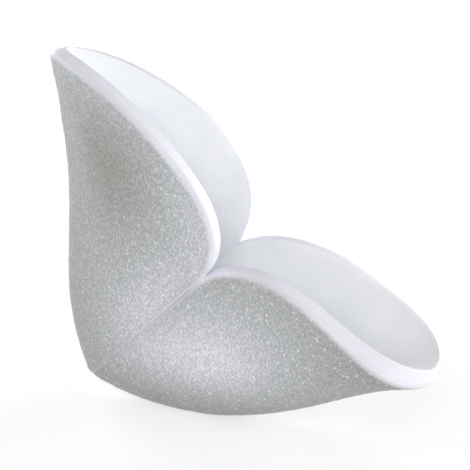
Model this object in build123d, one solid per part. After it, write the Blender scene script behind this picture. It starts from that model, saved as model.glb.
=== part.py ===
from build123d import *
import os
from types import SimpleNamespace
import numpy as np

# Foldable cupped foam protector: two trough-shaped foam lobes hinged at their outer corner.
# Each lobe is a deep trough with a rounded tip. A rib section of the wall lies in a plane
# that runs from a point of the spine curve to the matching point of the rim curve.
# The lobes butt against each other on one slanted fold plane, where the side darts close.
# Row frame: X across, -Y towards the tip of the lower lobe, +Z up. Millimetres.

# ---- driving dimensions ----------------------------------------------------------------
WALL = 12.0            # whole foam thickness
OUTER_PLY = 7.0        # coarse-cell outer foam
BOND_GAP = 0.2         # film of glue between laminated pieces
EDGE_BAND = 2.0        # sealed smooth edge, measured in from the rim
EDGE_GAP = 0.5         # between the edge band and the foam that it closes
SECTION_DROP = 27.6    # depth over which the trough's round bottom turns into upright walls
WALL_FLARE = 0.0053    # outward lean of the upright walls, per millimetre of depth
MOST_CLOSING = 0.8     # share of the half breadth that the foam's thickness may take at most

FOLD_RIM = (91.8, 94.9)      # forward and up, from the outer fold corner to the rim at the fold
FOLD_HALF_WIDTH = 31.8       # half the width across the rims at the fold

HINGE_BEAD_RADIUS = 2.5      # foam bead left uncut along the outer fold corner
HINGE_BEAD_LENGTH = 16.0
HINGE_GROOVE_RADIUS = 2.8
HINGE_GROOVE_LENGTH = 22.0

CORNER_TO_CENTRE = 105.0     # outer fold corner, behind the middle of the whole length
CORNER_HEIGHT = 10.5         # outer fold corner, above the face pressed flat underneath
PRESS_BLOCK = (200, 400, 50) # block that stands for the flat plate under the lower lobe

# Spine: forward and up. Rim: forward, up and half width. Both are Bezier control points.
# Pace: how far along the spine the ribs stand, from even near the fold to square at the tip.
LOWER = SimpleNamespace(
    spine=[(0, 0), (117.9, -42.4), (174.7, 33.0), (230.3, 34.0)],
    rim=[(*FOLD_RIM, FOLD_HALF_WIDTH), (145.7, 124.0, 35.2), (197.5, 60.8, 51.5),
         (207.1, 46.6, 62.8), (230.3, 34.0, 17.0), (230.3, 34.0, 0)],
    pace=(0.40, 0.77), inward=1)
UPPER = SimpleNamespace(
    spine=[(0, 0), (-28.1, 83.7), (6.2, 93.0), (-20.9, 218.0)],
    rim=[(*FOLD_RIM, FOLD_HALF_WIDTH), (122.1, 146.8, 44.2), (66.1, 171.5, 46.4),
         (40.1, 219.3, 28.3), (-20.9, 218.0, 21.6), (-20.9, 218.0, 0)],
    pace=(0.34, 0.95), inward=-1)

# Ribs, as shares of the way along the rim: the first is a hair off the fold plane, so that
# the dart faces of the two lobes only touch. The edge band alone goes on round the tip.
PLY_RIBS = (0.0006, 0.07, 0.16, 0.26, 0.36, 0.46, 0.56, 0.66, 0.75, 0.83, 0.89, 0.935)
TIP_RIBS = (0.945, 0.961, 0.977)
RIB_POINTS = 15


def bezier(points, t):
    """Point and tangent of a Bezier curve, by repeated linear blending."""
    level = np.array(points, float)
    while len(level) > 2:
        level = level[:-1] * (1 - t) + level[1:] * t
    return level[0] * (1 - t) + level[1] * t, level[1] - level[0]


def spine_station(lobe, u):
    """Place along the spine that pairs with rim place u, which slows to a stop at the tip."""
    station, _ = bezier([[0], [lobe.pace[0]], [lobe.pace[1]], [1], [1]], u)
    return station[0]


def rib_frame(lobe, u):
    """Spine point, direction in the rib's plane, depth, half width and lean of the plane."""
    foot, along = bezier(lobe.spine, spine_station(lobe, u))
    rim, _ = bezier(lobe.rim, u)
    rise = rim[:2] - foot
    depth = np.hypot(*rise)
    direction = rise / depth
    normal = lobe.inward * np.array([-along[1], along[0]]) / np.hypot(*along)
    return foot, direction, depth, rim[2], direction @ normal


def half_breadth(v, depth, width):
    """Half breadth of the trough at share v of the rib: a round bottom into leaning walls."""
    def spread(s):
        drop = depth * s ** 2
        return np.sqrt(1 - np.exp(-drop / SECTION_DROP)) + WALL_FLARE * drop
    return np.sign(v) * width * spread(v) / spread(1.0)


def place(forward, side, up):
    """Fold-corner coordinates to the row frame."""
    return Vector(side, CORNER_TO_CENTRE - forward, CORNER_HEIGHT + up)


def rib_curve(lobe, u, span, depth_in):
    """Points of one rib over a span of its shares, moved depth_in millimetres into the wall."""
    foot, direction, depth, width, lean = rib_frame(lobe, u)
    v = np.linspace(*span, RIB_POINTS)
    step = 0.01
    run = half_breadth(v + step, depth, width) - half_breadth(v - step, depth, width)
    climb = 4 * step * v * depth * lean
    length = np.hypot(run, climb)
    outer_side = half_breadth(v, depth, width)
    room = MOST_CLOSING * np.abs(outer_side) + 1e-6
    side = outer_side - room * np.tanh(depth_in * climb / length / room)
    height = depth * v ** 2 + depth_in * run / length / lean
    forward = foot[0] + height * direction[0]
    up = foot[1] + height * direction[1]
    return [place(*point) for point in zip(forward, side, up)]


def trimmed_reach(lobe, u, inset):
    """Share of the rib left when its edges are trimmed back by inset millimetres."""
    _, _, depth, width, _ = rib_frame(lobe, u)
    v = np.linspace(0, 1, 60)
    half_length = np.hypot(np.diff(half_breadth(v, depth, width)), np.diff(depth * v ** 2)).sum()
    return 1 - inset / half_length


def slab(lobe, stations, span_at, depth_from, depth_to):
    """Solid slab of the lobe's wall between two depths, over the span that each rib gives."""
    ribs = []
    for u in stations:
        outer = rib_curve(lobe, u, span_at(u), depth_from)
        inner = rib_curve(lobe, u, span_at(u), depth_to)
        ribs.append(Wire([Edge.make_spline(outer), Edge.make_line(outer[-1], inner[-1]),
                          Edge.make_spline(inner[::-1]), Edge.make_line(inner[0], outer[0])]))
    return Solid.make_loft(ribs)


def across(radius, length):
    """Cylinder along X about the hinge line, one bead radius inside the outer corner."""
    inward = np.array(FOLD_RIM) / np.hypot(*FOLD_RIM) * HINGE_BEAD_RADIUS
    centre = place(inward[0], 0, inward[1])
    return Plane(origin=centre, z_dir=(1, 0, 0)) * Cylinder(radius, length)


def lobe_pieces(lobe):
    """Outer foam, inner liner and edge band of one lobe."""
    def ply_span(u):
        reach = trimmed_reach(lobe, u, EDGE_BAND + EDGE_GAP)
        return -reach, reach

    def near_edge(u):
        return -1, -trimmed_reach(lobe, u, EDGE_BAND)

    def far_edge(u):
        return trimmed_reach(lobe, u, EDGE_BAND), 1

    outer = slab(lobe, PLY_RIBS, ply_span, 0, OUTER_PLY)
    liner = slab(lobe, PLY_RIBS, ply_span, OUTER_PLY + BOND_GAP, WALL)
    edges = [slab(lobe, PLY_RIBS, span, 0, WALL) for span in (near_edge, far_edge)]
    tip = slab(lobe, TIP_RIBS, lambda u: (-1, 1), 0, WALL)
    band = Compound(children=[*edges, tip])
    return outer - across(HINGE_GROOVE_RADIUS, HINGE_GROOVE_LENGTH), liner, band


lower_outer, lower_liner, lower_band = lobe_pieces(LOWER)
upper_outer, upper_liner, upper_band = lobe_pieces(UPPER)

# The underside of the lower lobe is pressed flat where it rests.
floor_block = Pos(0, 0, -PRESS_BLOCK[2] / 2) * Box(*PRESS_BLOCK)
lower_outer = lower_outer - floor_block

hinge_bead = across(HINGE_BEAD_RADIUS, HINGE_BEAD_LENGTH)

PIECES = {
    "lower_outer_shell": lower_outer,
    "lower_inner_liner": lower_liner,
    "lower_edge_band": lower_band,
    "upper_outer_shell": upper_outer,
    "upper_inner_liner": upper_liner,
    "upper_edge_band": upper_band,
    "fold_web": hinge_bead,
}

os.makedirs("parts", exist_ok=True)
for name, piece in PIECES.items():
    export_step(piece, f"parts/{name}.step")
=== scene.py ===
import math
import bpy
import bmesh
import numpy as np
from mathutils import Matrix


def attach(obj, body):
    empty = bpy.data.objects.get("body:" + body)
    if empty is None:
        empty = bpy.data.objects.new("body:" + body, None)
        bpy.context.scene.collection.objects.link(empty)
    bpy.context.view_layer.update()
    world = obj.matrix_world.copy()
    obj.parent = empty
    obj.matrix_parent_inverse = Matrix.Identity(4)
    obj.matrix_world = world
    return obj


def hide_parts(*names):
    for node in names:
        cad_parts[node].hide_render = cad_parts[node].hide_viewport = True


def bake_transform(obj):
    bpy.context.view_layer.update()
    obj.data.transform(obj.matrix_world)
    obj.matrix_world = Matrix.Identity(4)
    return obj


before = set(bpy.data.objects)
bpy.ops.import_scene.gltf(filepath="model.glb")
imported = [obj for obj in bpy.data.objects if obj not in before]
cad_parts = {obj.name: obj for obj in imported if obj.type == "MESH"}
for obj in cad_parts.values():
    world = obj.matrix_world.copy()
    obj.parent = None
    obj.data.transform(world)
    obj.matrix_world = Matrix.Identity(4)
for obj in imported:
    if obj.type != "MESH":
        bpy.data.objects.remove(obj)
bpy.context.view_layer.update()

# ---- Outer shells: coarse closed-cell polyethylene foam, split skin ---------------------------
# The outer ply of a 12 mm laminated pad, die-cut flat, warmed and pressed into two deep
# troughs. Its cells lie open on the split face, and the hot die rolls its edge over.
MM = 0.001
WALL = 12.0
OUTER_PLY = 7.0
RIM_ROUND = 4.0
ROWS, COLS = 253, 337
BACK_STEP = 12
BACK_SHARE = 0.97
SHARP_ANGLE = 48

# Lumps left by the press, as height in mm, size in mm and seed. They die away over so many
# mm from the fold and the rim, and the pillowed swelling dies away over more.
SMALL_LUMPS = (0.16, 3.2, 5)
BROAD_LUMPS = (0.30, 17.0, 6)
FOLD_FADE, RIM_FADE, PILLOW_FADE = 4.0, 8.0, 22.0

# Each lobe is drawn by Bezier curves in mm from the outer corner of the fold: the spine as
# (forward, up), the rim as (forward, up, half width). The pace is the share of the spine
# that each share of the rim is joined to. Inward is the side of the spine that faces in.
CORNER = np.array([0.0, 105.0, 10.5])
FOLD_RIM = (91.8, 94.9, 31.8)
LOWER_TIP = (230.3, 34.0)
UPPER_TIP = (-20.9, 218.0)
LOBES = {
    "lower": dict(
        spine=[(0, 0), (117.9, -42.4), (174.7, 33.0), LOWER_TIP],
        rim=[FOLD_RIM, (145.7, 124.0, 35.2), (197.5, 60.8, 51.5), (207.1, 46.6, 62.8),
             (*LOWER_TIP, 17.0), (*LOWER_TIP, 0)],
        pace=[(0,), (0.40,), (0.77,), (1,), (1,)], inward=1),
    "upper": dict(
        spine=[(0, 0), (-28.1, 83.7), (6.2, 93.0), UPPER_TIP],
        rim=[FOLD_RIM, (122.1, 146.8, 44.2), (66.1, 171.5, 46.4), (40.1, 219.3, 28.3),
             (*UPPER_TIP, 21.6), (*UPPER_TIP, 0)],
        pace=[(0,), (0.34,), (0.95,), (1,), (1,)], inward=-1),
}
SECTION_DROP = 27.6
WALL_FLARE = 0.0053
MOST_CLOSING = 0.8
FOLD_SHARE, TIP_SHARE = 0.0001, 0.998


def bezier(points, t):
    """Points and tangents of a Bezier curve at an array t, by repeated linear blending."""
    t = np.asarray(t, float)[:, None]
    level = [np.ones_like(t) * np.array(p, float) for p in points]
    while len(level) > 2:
        level = [a * (1 - t) + b * t for a, b in zip(level, level[1:])]
    return level[0] * (1 - t) + level[1] * t, level[1] - level[0]


def half_breadth(v, depth, width):
    """Half width of the trough's section at a share v of the way from spine to rim.

    It is the rim's half width times spread(v) / spread(1). The spread is the root of
    (1 - exp(-drop / SECTION_DROP)), plus WALL_FLARE * drop, where the drop is depth * v^2.
    """
    def spread(share):
        drop = depth * share ** 2
        return np.sqrt(1 - np.exp(-drop / SECTION_DROP)) + WALL_FLARE * drop
    return np.sign(v) * width * spread(v) / spread(1.0)


def wall_point(lobe, u, v, depth_in):
    """Point of the wall: u along the lobe, v across from rim to rim, depth_in mm into the foam.

    A rib runs from the spine's point to the rim's point at u. The outer point lies v^2 of
    the way up the rib and half_breadth(v) to the side. The inner point lies depth_in away
    along the section's normal, stretched by the rib's lean from the spine's normal. A tanh
    keeps the two walls from closing by more than MOST_CLOSING of the half breadth.
    """
    shape = LOBES[lobe]
    u, v, depth_in = np.broadcast_arrays(u, v, depth_in)
    line = u[:, 0]
    station, _ = bezier(shape["pace"], line)
    foot, along = bezier(shape["spine"], station[:, 0])
    rim, _ = bezier(shape["rim"], line)
    rise = rim[:, :2] - foot
    depth = np.hypot(rise[:, 0], rise[:, 1])[:, None]
    direction = rise / depth
    normal = shape["inward"] * np.stack([-along[:, 1], along[:, 0]], -1)
    normal /= np.hypot(normal[:, 0], normal[:, 1])[:, None]
    lean = (direction * normal).sum(1)[:, None]
    width = rim[:, 2:3]
    step = 0.01
    run = half_breadth(v + step, depth, width) - half_breadth(v - step, depth, width)
    climb = 4 * step * v * depth * lean
    length = np.hypot(run, climb)
    outer_side = half_breadth(v, depth, width)
    tiny = 1e-6
    room = MOST_CLOSING * np.abs(outer_side) + tiny
    side = outer_side - room * np.tanh(depth_in * climb / length / room)
    height = depth * v ** 2 + depth_in * run / length / lean
    forward = foot[:, 0:1] + height * direction[:, 0:1]
    up = foot[:, 1:2] + height * direction[:, 1:2]
    return np.stack([side, -forward, up], -1) + CORNER


def along_lobe(count):
    """Shares from the fold to the tip, t - 0.15 sin(2 pi t) / 2 pi, so closer at both ends."""
    t = np.linspace(0, 1, count)
    packed = t - 0.15 * np.sin(2 * np.pi * t) / (2 * np.pi)
    return (FOLD_SHARE + (TIP_SHARE - FOLD_SHARE) * packed)[:, None]


def rim_line(lobe, depth=0.0, count=600):
    """Points all along the lobe's rim, from the near side of the fold round the tip."""
    u = np.linspace(0, TIP_SHARE, count)[:, None]
    near = wall_point(lobe, u, -1.0, depth)[:, 0]
    far = wall_point(lobe, u, 1.0, depth)[:, 0]
    return np.concatenate([near, far[::-1]])


def nearest_gap(points, line):
    """Distance in mm from each grid point to the nearest point of a line of points."""
    gap = np.empty(points.shape[:2])
    square = (line ** 2).sum(1)
    for i, row in enumerate(points):
        away = (row ** 2).sum(1)[:, None] + square - 2 * row @ line.T
        gap[i] = np.sqrt(np.maximum(away.min(1), 0))
    return gap


def fallen(gap, reach):
    """Quarter circle: how deep an edge of radius reach has fallen at a gap from the edge."""
    share = np.clip(1 - gap / reach, 0, 1)
    return reach * (1 - np.sqrt(1 - share ** 2))


def bell(value, centre, width):
    """exp(-((value - centre) / width)^2)"""
    return np.exp(-((value - centre) / width) ** 2)


def pillow(u, v, fold_gap, lobe):
    """How deep the outer skin lies below the plain trough, in mm.

    The foam is squeezed towards the fold by exp(-gap / 17 mm) times 5.5 mm on the walls and
    2.2 mm on the spine, and by 0.8 of that on the upper lobe. The lower lobe's walls swell
    by a bell 3 mm high beside the fold.
    """
    squeeze = (2.2 + 3.3 * np.clip(np.abs(v) / 0.5, 0, 1) ** 2) * np.exp(-fold_gap / 17.0)
    if lobe == "upper":
        return 0.8 * squeeze
    return squeeze - 3.0 * bell(u, 0.20, 0.15) * bell(np.abs(v), 0.62, 0.19)


def fold_groove(v, fold_gap, lobe):
    """Seam where the lobes butt: a parabola 0.7 mm deep and 4 mm wide at the spine, which
    grows with v^4 to 1.6 mm by 6 mm at the rim. The upper lobe has a 0.3 mm lip beside it."""
    groove = (0.7 + 0.9 * v ** 4) * np.clip(1 - fold_gap / (4.0 + 2.0 * v ** 4), 0, 1) ** 2
    return groove - 0.3 * bell(fold_gap, 5.5, 1.6) * (lobe == "upper")


def split_face(v, rim_gap, fold_gap):
    """1 on the split face, 0 within 0.4 mm of the rim, and 40 to 100 per cent lost in a seam
    0.8 to 3.8 mm wide along the fold."""
    sealed_seam = 1 - np.clip((fold_gap - 0.3) / (0.8 + 3.0 * v ** 4), 0, 1)
    return np.clip((rim_gap - 0.4) / 3.0, 0, 1) * (1 - sealed_seam * (0.4 + 0.6 * v ** 4))


def stretch_tone(u, v, lobe):
    """Painted light and shade on the split face, from 0 in painted shade to 1 in painted light.

    It is 0.5, plus bells of painted light on the swellings, less bells of painted shade on the
    spine and in the hollows.
    """
    side = np.abs(v)
    # The bells added are painted light on the swellings; the bells taken away are painted shade on
    # the spine and in the hollows
    if lobe == "lower":
        drawn = 0.55 * bell(u, 0.13, 0.14) * bell(side, 0.67, 0.16)
        packed = 0.36 * bell(side, 0.22, 0.24) + 0.45 * bell(u, 0.7, 0.3) \
            + 0.12 * bell(u, 0.15, 0.2) * bell(side, 1.0, 0.12)
    else:
        drawn = 0.38 * bell(u, 0.02, 0.12) * bell(side, 0.75, 0.2) \
            + 0.18 * bell(side, 0.97, 0.06) * bell(u, 0.2, 0.2)
        packed = 0.42 * bell(u, 0.45, 0.2) * bell(side, 0.75, 0.2) \
            + 0.26 * bell(side, 0.2, 0.3)
    return np.clip(0.5 + drawn - packed, 0, 1)


def open_cells(u, v, lobe):
    """Share of the large cells that stand proud and carry a painted white highlight: it rises in
    straight lines from the spine to the walls, and on the upper lobe it falls towards the tip
    and gains a bell along the rim."""
    side = np.abs(v)
    if lobe == "lower":
        return np.clip(0.25 + 2.2 * side, 0, 1) + 0 * u
    towards_tip = np.clip(1.25 - 2.6 * u, 0.12, 1)
    return towards_tip * np.clip(0.1 + 1.3 * side, 0, 1) + 0.35 * bell(side, 1.0, 0.12)


def lumps(points, height, size, seed):
    """Value noise in 3-D, from -height to height: random values on a lattice of the given
    size, blended between its corners by the smooth step 3 t^2 - 2 t^3."""
    count = 64
    random = np.random.default_rng(seed).random((count, count, count))
    above_zero = 200
    scaled = points / size + above_zero
    cell = np.floor(scaled).astype(int)
    part = scaled - cell
    part = part * part * (3 - 2 * part)
    total = 0
    for corner in np.ndindex(2, 2, 2):
        at = (cell + corner) % count
        weight = np.prod(np.where(corner, part, 1 - part), -1)
        total = total + random[at[..., 0], at[..., 1], at[..., 2]] * weight
    return height * (total * 2 - 1)


def linear_colour(text):
    """sRGB hex to the linear RGBA that shaders take."""
    value = np.array([int(text[i:i + 2], 16) for i in (1, 3, 5)]) / 255
    linear = np.where(value <= 0.04045, value / 12.92, ((value + 0.055) / 1.055) ** 2.4)
    return (*[float(c) for c in linear], 1.0)


def new_material(name):
    """An empty node material and its tree."""
    material = bpy.data.materials.new(name)
    material.use_nodes = True
    material.node_tree.nodes.clear()
    return material, material.node_tree


def add_node(tree, kind, inputs=(), **settings):
    """Adds a node. Settings name its properties or sockets. Inputs are pairs of a socket's
    name or number and the socket that feeds it, or its value."""
    node = tree.nodes.new(kind)
    for name, value in settings.items():
        if hasattr(node, name):
            setattr(node, name, value)
        else:
            node.inputs[name.replace("_", " ")].default_value = value
    for name, source in inputs:
        if isinstance(source, bpy.types.NodeSocket):
            tree.links.new(source, node.inputs[name])
        else:
            node.inputs[name].default_value = source
    return node


def coarse_foam_material():
    """Cross-linked polyethylene foam, split by a knife so that the cells on its face are open.

    The cells are 1.1 mm across and drawn 2.1 mm long as the sheet stretched, each a low dome
    between duller hollows darkened with painted shade. About one in six of the larger cells
    stands proud with a glossy wall and a painted white highlight. That gives the eye a fine
    matt grain with sparse glints, and a rim without either. Broad painted light and shade lies
    over the split face, warm grey where shaded and cool white where lit, and the rim's lilac
    tint is painted cool light.
    """
    material, tree = new_material("coarse_closed_cell_polyethylene_foam")
    place = add_node(tree, "ShaderNodeTexCoord").outputs["Object"]
    split = add_node(tree, "ShaderNodeAttribute", attribute_name="cut_face").outputs["Fac"]
    glinting = add_node(tree, "ShaderNodeAttribute", attribute_name="open_cells").outputs["Fac"]
    # Painted light and shade over the split face, from a warm grey shade to a cool white light
    stretch = add_node(tree, "ShaderNodeAttribute", attribute_name="stretch").outputs["Fac"]

    # Cells: two sizes, both drawn out along a line that leans 14 degrees, on a bent place
    wander = add_node(tree, "ShaderNodeTexNoise", [("Vector", place)], Scale=160.0, Detail=2.0)
    most_bend = (2.2 * MM, 2.2 * MM, 2.2 * MM)
    bend = add_node(tree, "ShaderNodeVectorMath", [(0, wander.outputs["Color"]), (1, most_bend)],
                    operation="MULTIPLY").outputs[0]
    bent = add_node(tree, "ShaderNodeVectorMath", [(0, place), (1, bend)],
                    operation="ADD").outputs[0]
    lean = (math.radians(-14), 0, 0)
    fine_place = add_node(tree, "ShaderNodeMapping", [("Vector", bent)], vector_type="TEXTURE",
                          Rotation=lean, Scale=(1.1 * MM, 1.1 * MM, 2.1 * MM)).outputs[0]
    fine = add_node(tree, "ShaderNodeTexVoronoi", [("Vector", fine_place)],
                    feature="SMOOTH_F1", Scale=1.0, Smoothness=0.25).outputs["Distance"]
    large_place = add_node(tree, "ShaderNodeMapping", [("Vector", bent)], vector_type="TEXTURE",
                           Rotation=lean, Scale=(1.7 * MM, 1.7 * MM, 2.7 * MM)).outputs[0]
    large = add_node(tree, "ShaderNodeTexVoronoi", [("Vector", large_place)], Scale=1.0)

    # Glints: the large cells with the highest random numbers, as domes, on the share of cells set
    # to glint. They raise glossy relief and, below, a painted white highlight
    chance = add_node(tree, "ShaderNodeSeparateColor", [("Color", large.outputs["Color"])])
    proud = add_node(tree, "ShaderNodeMapRange", [("Value", chance.outputs["Red"])],
                     From_Min=0.76, From_Max=0.92).outputs["Result"]
    dome = add_node(tree, "ShaderNodeMapRange", [("Value", large.outputs["Distance"])],
                    From_Min=0.12, From_Max=0.42, To_Min=1.0, To_Max=0.0).outputs["Result"]
    chosen = add_node(tree, "ShaderNodeMath", [(0, proud), (1, glinting)],
                      operation="MULTIPLY").outputs[0]
    glint = add_node(tree, "ShaderNodeMath", [(0, chosen), (1, dome)],
                     operation="MULTIPLY").outputs[0]

    # Relief: the fine domes, and the proud cells at three quarters of their height
    ground = add_node(tree, "ShaderNodeMapRange", [("Value", fine)], From_Max=0.8, To_Min=1.0,
                      To_Max=0.0).outputs["Result"]
    relief = add_node(tree, "ShaderNodeMath", [(0, glint), (1, 0.75), (2, ground)],
                      operation="MULTIPLY_ADD").outputs[0]
    faded = add_node(tree, "ShaderNodeMath", [(0, relief), (1, split)],
                     operation="MULTIPLY").outputs[0]
    bump = add_node(tree, "ShaderNodeBump", [("Height", faded)], Strength=1.0,
                    Distance=0.4 * MM)

    # Colour: painted shade to painted light over the split face, painted shade in the hollows,
    # painted highlights on the glints, and the pale rolled rim with a painted lilac tint
    tone = add_node(tree, "ShaderNodeValToRGB", [("Fac", stretch)])
    tone.color_ramp.elements[0].color = linear_colour("#9E9D97")
    tone.color_ramp.elements.new(0.5).color = linear_colour("#C9CCCF")
    tone.color_ramp.elements[2].color = linear_colour("#F1F2FA")
    # Painted shade: the hollows between cells darkened to two thirds of the tone, the dome tops a
    # little lifted
    pits = add_node(tree, "ShaderNodeMapRange", [("Value", ground)], From_Min=0.25, From_Max=0.8,
                    To_Min=0.66, To_Max=1.03).outputs["Result"]
    shade = add_node(tree, "ShaderNodeVectorMath", [(0, tone.outputs["Color"]), (1, pits)],
                     operation="MULTIPLY").outputs[0]
    # Painted highlight: the glint cells are mixed towards white in the colour, and made glossier
    spark = add_node(tree, "ShaderNodeMath", [(0, glint), (1, split)],
                     operation="MULTIPLY").outputs[0]
    lit = add_node(tree, "ShaderNodeMix",
                   [("Factor", spark), ("A", shade), ("B", linear_colour("#FDFDFE"))],
                   data_type="RGBA").outputs["Result"]
    # The pale rolled rim, with a lilac tint painted for the cool light that falls on it
    colour = add_node(tree, "ShaderNodeMix",
                      [("Factor", split), ("A", linear_colour("#E6E7F0")), ("B", lit)],
                      data_type="RGBA").outputs["Result"]
    rough = add_node(tree, "ShaderNodeMapRange", [("Value", spark)], To_Min=0.42,
                     To_Max=0.13).outputs["Result"]
    skin = add_node(tree, "ShaderNodeBsdfPrincipled",
                    [("Base Color", colour), ("Normal", bump.outputs["Normal"]),
                     ("Roughness", rough)], IOR=1.5, Specular_IOR_Level=0.85)
    add_node(tree, "ShaderNodeOutputMaterial", [("Surface", skin.outputs["BSDF"])])
    return material


def slab_object(name, front, back, material, **attributes):
    """Closed slab between a fine front grid and a coarser back grid of the same outline.

    Quads cover both grids. Round the edge, each edge of the back grid is joined by one
    many-sided face to the run of front edges that lies over it.
    """
    rows, cols = front.shape[:2]
    back_rows, back_cols = back.shape[:2]
    index = np.arange(rows * cols).reshape(rows, cols)
    under = rows * cols + np.arange(back_rows * back_cols).reshape(back_rows, back_cols)

    def quads(grid):
        corners = [grid[:-1, :-1], grid[1:, :-1], grid[1:, 1:], grid[:-1, 1:]]
        return np.stack(corners, -1).reshape(-1, 4).tolist()

    def edge_faces(front_line, back_line):
        run = (len(front_line) - 1) // (len(back_line) - 1)
        starts = np.arange(len(back_line) - 1) * run
        top = front_line[starts[:, None] + np.arange(run + 1)]
        return np.column_stack([top, back_line[1:], back_line[:-1]]).tolist()

    faces = quads(index) + quads(under)
    faces += edge_faces(index[0], under[0]) + edge_faces(index[-1], under[-1])
    faces += edge_faces(index[:, 0], under[:, 0]) + edge_faces(index[:, -1], under[:, -1])
    points = np.concatenate([front.reshape(-1, 3), back.reshape(-1, 3)]) * MM
    mesh = bpy.data.meshes.new(name)
    mesh.from_pydata(points.tolist(), [], faces)
    for key, values in attributes.items():
        layer = mesh.attributes.new(key, "FLOAT", "POINT")
        layer.data.foreach_set("value", np.append(values.ravel(), np.ones(under.size)))
    shell = bmesh.new()
    shell.from_mesh(mesh)
    bmesh.ops.recalc_face_normals(shell, faces=shell.faces)
    shell.to_mesh(mesh)
    shell.free()
    mesh.shade_smooth()
    mesh.set_sharp_from_angle(angle=math.radians(SHARP_ANGLE))
    piece = bpy.data.objects.new(name, mesh)
    bpy.context.scene.collection.objects.link(piece)
    mesh.materials.append(material)
    return piece


coarse = coarse_foam_material()
for lobe in LOBES:
    u = along_lobe(ROWS)
    v = np.linspace(-1, 1, COLS)[None, :]
    plain = wall_point(lobe, u, v, 0.0)
    rim_gap = nearest_gap(plain, rim_line(lobe))
    fold_gap = nearest_gap(plain, plain[0])

    # Depth of the skin: pillow, fold groove and lumps, each faded out, then the rounded rim
    uneven = lumps(plain, *SMALL_LUMPS) + lumps(plain, *BROAD_LUMPS)
    uneven = uneven * np.clip(fold_gap / FOLD_FADE, 0, 1)
    sunk = pillow(u, v, fold_gap, lobe) * np.clip(rim_gap / PILLOW_FADE, 0, 1) ** 0.7
    groove = fold_groove(v, fold_gap, lobe)
    sunk = sunk + (groove - uneven) * np.clip(rim_gap / RIM_FADE, 0, 1)
    front = wall_point(lobe, u, v, sunk + fallen(rim_gap, RIM_ROUND))
    if lobe == "lower":
        # The underside is pressed flat where the pad stands, so nothing lies below the floor
        front[..., 2] = np.maximum(front[..., 2], 0.0)
    back = wall_point(lobe, u[::BACK_STEP] * BACK_SHARE, v[:, ::BACK_STEP] * BACK_SHARE,
                      OUTER_PLY)
    # Per point: the split face's mask, its painted light and shade, and the share of cells that
    # glint
    shell = slab_object(f"{lobe}_foam_outer", front, back, coarse,
                        cut_face=split_face(v, rim_gap, fold_gap),
                        stretch=stretch_tone(u, v, lobe), open_cells=open_cells(u, v, lobe))
    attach(shell, lobe)
    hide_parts(f"{lobe}_outer_shell")

# ---- Inner liners: fine-cell foam with its smooth extruded skin --------------------------------
# The liner is laminated to the shell before pressing. Its skin is unbroken, so it looks
# chalk white and even, with only a faint stipple of the small cells below.
GLUE_LINE = 0.3
LINER_ROUND = 1.0
LINER_STEP = 2
LINER_GROOVE, LINER_GROOVE_WIDE = 0.9, 5.0
LINER_WAVES = (0.2, 21.0, 8)


def smooth_foam_material():
    """Fine-cell polyethylene foam with the skin it was extruded with.

    Its cells, 1.4 mm across, are pressed almost flat under the skin, which gives the eye an
    even chalk white with a faint stipple and very soft clouds.
    """
    material, tree = new_material("smooth_skinned_polyethylene_foam")
    place = add_node(tree, "ShaderNodeTexCoord").outputs["Object"]
    cells = add_node(tree, "ShaderNodeTexVoronoi", [("Vector", place)], feature="SMOOTH_F1",
                     Scale=1 / (1.4 * MM), Smoothness=0.6)
    bump = add_node(tree, "ShaderNodeBump", [("Height", cells.outputs["Distance"])],
                    Strength=0.8, Distance=0.2 * MM, invert=True)
    cloud = add_node(tree, "ShaderNodeTexNoise", [("Vector", place)], Scale=30.0, Detail=3.0)
    tone = add_node(tree, "ShaderNodeValToRGB", [("Fac", cloud.outputs["Fac"])])
    tone.color_ramp.elements[0].position = 0.3
    tone.color_ramp.elements[0].color = linear_colour("#EEF0F4")
    tone.color_ramp.elements[1].position = 0.7
    tone.color_ramp.elements[1].color = linear_colour("#F7F8FB")
    skin = add_node(tree, "ShaderNodeBsdfPrincipled",
                    [("Base Color", tone.outputs["Color"]), ("Normal", bump.outputs["Normal"])],
                    Roughness=0.55, IOR=1.5)
    add_node(tree, "ShaderNodeOutputMaterial", [("Surface", skin.outputs["BSDF"])])
    return material


smooth = smooth_foam_material()
for lobe in LOBES:
    u = along_lobe(ROWS)[::LINER_STEP]
    v = np.linspace(-1, 1, COLS)[None, ::LINER_STEP]
    plain = wall_point(lobe, u, v, WALL)
    rim_gap = nearest_gap(plain, rim_line(lobe, WALL))
    fold_gap = nearest_gap(plain, plain[0])

    # A rounded rim, a shallow groove at the fold and broad waves left by the press
    groove = LINER_GROOVE * np.clip(1 - fold_gap / LINER_GROOVE_WIDE, 0, 1) ** 2
    sunk = np.hypot(fallen(rim_gap, LINER_ROUND), groove)
    waves = lumps(plain, *LINER_WAVES) * np.clip(rim_gap / RIM_FADE, 0, 1)
    front = wall_point(lobe, u, v, WALL - sunk - waves * np.clip(fold_gap / FOLD_FADE, 0, 1))
    back_step = BACK_STEP // LINER_STEP
    back = wall_point(lobe, u[::back_step] * BACK_SHARE, v[:, ::back_step] * BACK_SHARE,
                      OUTER_PLY + GLUE_LINE)
    liner = slab_object(f"{lobe}_foam_liner", front, back, smooth)
    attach(liner, lobe)
    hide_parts(f"{lobe}_inner_liner")

# ---- Edge bands: foam sealed by the heated cutting die -----------------------------------------
# The die melts the cells shut along the cut, which leaves a smooth, satin edge that runs
# from the fold, round the tip and back to the fold. Its faint lilac tint is painted light,
# for the cool light that falls on the rim.
BAND_COLS = 17
BAND_DEEP = 2.5
BAND_CROWN = 0.12
BAND_LAP = 1.0
LAP_SINK = 0.5
TUCK_IN = 0.8
TUCK_SIDE = 0.02


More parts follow.
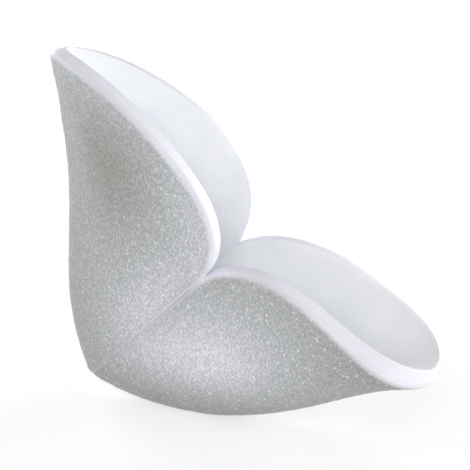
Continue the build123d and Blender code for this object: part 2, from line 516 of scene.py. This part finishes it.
def sealed_edge_material():
    """Polyethylene foam melted shut by the hot die.

    The closed skin keeps a trace of the cells' grain, which gives the eye a soft satin
    sheen, smoother and cooler than the split face. That cool lilac tint is painted light,
    for the cool light that falls on the rim.
    """
    material, tree = new_material("heat_sealed_polyethylene_edge")
    place = add_node(tree, "ShaderNodeTexCoord").outputs["Object"]
    grain = add_node(tree, "ShaderNodeTexNoise", [("Vector", place)], Scale=450.0, Detail=3.0)
    bump = add_node(tree, "ShaderNodeBump", [("Height", grain.outputs["Fac"])], Strength=0.25,
                    Distance=0.1 * MM)
    tone = add_node(tree, "ShaderNodeValToRGB", [("Fac", grain.outputs["Fac"])])
    # Pale satin, with a lilac tint painted for the cool light on the rim
    tone.color_ramp.elements[0].color = linear_colour("#E7E7F1")
    tone.color_ramp.elements[1].color = linear_colour("#EFEFF7")
    skin = add_node(tree, "ShaderNodeBsdfPrincipled",
                    [("Base Color", tone.outputs["Color"]), ("Normal", bump.outputs["Normal"])],
                    Roughness=0.45, IOR=1.5)
    add_node(tree, "ShaderNodeOutputMaterial", [("Surface", skin.outputs["BSDF"])])
    return material


sealed = sealed_edge_material()
for lobe in LOBES:
    u = along_lobe(ROWS)
    depths = np.linspace(RIM_ROUND - BAND_LAP, WALL - LINER_ROUND, BAND_COLS)[None, :]
    cut = np.concatenate([wall_point(lobe, u, -1.0, depths),
                          wall_point(lobe, u, 1.0, depths)[::-1]])

    # Inward is the unit normal of the cut, turned towards a point inside the near wall
    across = cut[:, -1] - cut[:, 0]
    inward = np.cross(across, np.gradient(cut[:, 0], axis=0))
    inward /= np.linalg.norm(inward, axis=1)[:, None]
    sample = ROWS // 4
    inside = wall_point(lobe, u[sample:sample + 1], -0.9, WALL / 2)[0, 0]
    inward *= np.sign(inward[sample] @ (inside - cut[sample, BAND_COLS // 2]))

    # The band is crowned by a parabola and dips below the shell's rolled edge where it starts.
    # A column tucked under at each side closes it down to the back.
    crown = BAND_CROWN * (1 - np.linspace(-1, 1, BAND_COLS) ** 2)
    lap = np.clip((depths[0] - depths[0, 0]) / BAND_LAP, 0, 1)
    crown = crown - LAP_SINK * np.clip(1 - lap, 0, 1) ** 2
    front = cut - inward[:, None, :] * crown[None, :, None]
    tucked = cut[:, [0, -1]] + inward[:, None, :] * TUCK_IN
    tucked[:, 1] += across * TUCK_SIDE
    front = np.concatenate([tucked[:, :1], front, tucked[:, 1:]], 1)
    back = front[:, ::BAND_COLS + 1] + inward[:, None, :] * BAND_DEEP
    band = slab_object(f"{lobe}_foam_edge", front, back, sealed)
    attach(band, lobe)
    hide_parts(f"{lobe}_edge_band")

# ---- Fold web: the foam left uncut along the outer corner --------------------------------------
# A thin strip of the same foam joins the lobes along the line of the living hinge. It lies
# just under the outer skin and follows both lobes round the corner.
WEB_SIDE = 0.12
WEB_REACH = 0.05
WEB_TOP, WEB_THICK = 3.6, 2.0
BEND_SHARE, BEND_DEPTH = 0.012, 2.5
web_u = np.linspace(WEB_REACH, FOLD_SHARE, 19)[:, None]
web_v = np.linspace(-WEB_SIDE, WEB_SIDE, 13)[None, :]


def web_layer(depth_in):
    """Grid that runs down the lower lobe's spine to the fold and on up the upper lobe's."""
    lower = wall_point("lower", web_u, web_v, depth_in)
    upper = wall_point("upper", web_u[::-1], web_v, depth_in)
    return np.concatenate([lower, upper[1:]])


def bend_limit(lobe):
    """Point beside the fold, in metres, BEND_SHARE along the spine and BEND_DEPTH mm into the
    foam.
    """
    return tuple(wall_point(lobe, np.array([[BEND_SHARE]]), 0.0, BEND_DEPTH)[0, 0] * MM)


web = slab_object("fold_web_strip", web_layer(WEB_TOP), web_layer(WEB_TOP + WEB_THICK), sealed)
bend_limit("lower")
bend_limit("upper")
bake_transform(web)
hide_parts("fold_web")

# ---- Stage: pale floor, soft boxes, long lens ---------------------------------------------------
# White studio paper lies under the foam. It glows a little near the foam and more beyond
# the soft boxes' reach, so that it stays white to the horizon.
FLOOR_HALF = 20.0
NEAR_GLOW, FAR_GLOW = 0.56, 1.0
AIR_COLOUR, AIR_STRENGTH = (1.0, 1.0, 0.985, 1), 0.07
CAMERA_AZIMUTH, CAMERA_ELEVATION = -68.97, 23.7
CAMERA_DISTANCE, FRAME_WIDTH = 1.364, 0.2914
AIM = CORNER + (0.0, -93.0, 80.6)
FRAME_SHIFT = (6.6526, 28.2162)
SENSOR = 36.0
BOX_SIDE, BOX_DISTANCE = 0.9, 1.8
BOX_TARGET = np.array([0.0, 0.0, 0.09])
# Each soft box: degrees to the right of the camera, degrees up, watts
SOFT_BOXES = {"over_camera": (355, 34, 12.5), "right": (70, 8, 13.3),
              "back_right": (125, 12, 17.0), "back_left": (210, 14, 18.0),
              "high_right": (110, 40, 4.0), "high_left": (270, 38, 9.0),
              "overhead": (90, 80, 2.6), "low_left": (300, 10, 2.9)}


def studio_paper_material():
    """Matt background paper. Its glow supplies most of its white, so its own colour is grey,
    and the eye sees a clean white ground with only a faint shadow under the foam."""
    material, tree = new_material("matt_white_studio_paper")
    place = add_node(tree, "ShaderNodeTexCoord").outputs["Object"]
    reach = add_node(tree, "ShaderNodeVectorMath", [(0, place)], operation="LENGTH")
    glow = add_node(tree, "ShaderNodeMapRange", [("Value", reach.outputs["Value"])],
                    From_Min=0.6, From_Max=2.4, To_Min=NEAR_GLOW, To_Max=FAR_GLOW)
    paper = add_node(tree, "ShaderNodeBsdfPrincipled",
                     [("Emission Strength", glow.outputs["Result"])],
                     Base_Color=linear_colour("#B8B8B8"), Roughness=0.9,
                     Emission_Color=(1, 1, 1, 1))
    add_node(tree, "ShaderNodeOutputMaterial", [("Surface", paper.outputs["BSDF"])])
    return material


def direction(azimuth, elevation):
    """Unit vector from the foam: azimuth 0 is -Y and 90 is +X, both angles in degrees."""
    a, e = math.radians(azimuth), math.radians(elevation)
    return np.array([math.sin(a) * math.cos(e), -math.cos(a) * math.cos(e), math.sin(e)])


def look_along(gaze):
    """Euler angles that turn a lamp's or camera's -Z along a direction, with +Y kept up."""
    flat = math.hypot(gaze[0], gaze[1])
    return (math.atan2(flat, -gaze[2]), 0.0, math.atan2(gaze[1], gaze[0]) - math.pi / 2)


floor_mesh = bpy.data.meshes.new("studio_floor")
floor_mesh.from_pydata([(-FLOOR_HALF, -FLOOR_HALF, 0), (FLOOR_HALF, -FLOOR_HALF, 0),
                        (FLOOR_HALF, FLOOR_HALF, 0), (-FLOOR_HALF, FLOOR_HALF, 0)],
                       [], [(0, 1, 2, 3)])
floor_mesh.materials.append(studio_paper_material())
floor = bpy.data.objects.new("studio_floor", floor_mesh)
bpy.context.scene.collection.objects.link(floor)

world = bpy.data.worlds.new("studio_air")
bpy.context.scene.world = world
world.use_nodes = True
world.node_tree.nodes["Background"].inputs["Color"].default_value = AIR_COLOUR
world.node_tree.nodes["Background"].inputs["Strength"].default_value = AIR_STRENGTH

for name, (turn, height, power) in SOFT_BOXES.items():
    lamp = bpy.data.lights.new(name + "_box", "AREA")
    lamp.size = BOX_SIDE
    lamp.energy = power
    away = direction(CAMERA_AZIMUTH + turn, height)
    holder = bpy.data.objects.new(name + "_box", lamp)
    holder.location = BOX_TARGET + away * BOX_DISTANCE
    holder.rotation_euler = look_along(-away)
    bpy.context.scene.collection.objects.link(holder)

# The camera stands back from the aim, and the frame's centre is shifted right and up from it
back_vector = direction(CAMERA_AZIMUTH, CAMERA_ELEVATION)
right = np.cross([0, 0, 1], back_vector)
right /= np.linalg.norm(right)
top = np.cross(back_vector, right)
spot = AIM * MM + back_vector * CAMERA_DISTANCE
centre = (AIM + right * FRAME_SHIFT[0] + top * FRAME_SHIFT[1]) * MM
lens = bpy.data.cameras.new("studio_camera")
lens.sensor_width = SENSOR
lens.lens = SENSOR * float(np.linalg.norm(centre - spot)) / FRAME_WIDTH
lens.clip_end = 50
camera = bpy.data.objects.new("studio_camera", lens)
camera.location = spot
camera.rotation_euler = look_along(centre - spot)
bpy.context.scene.collection.objects.link(camera)
bpy.context.scene.camera = camera
bpy.context.scene.view_settings.view_transform = "Standard"
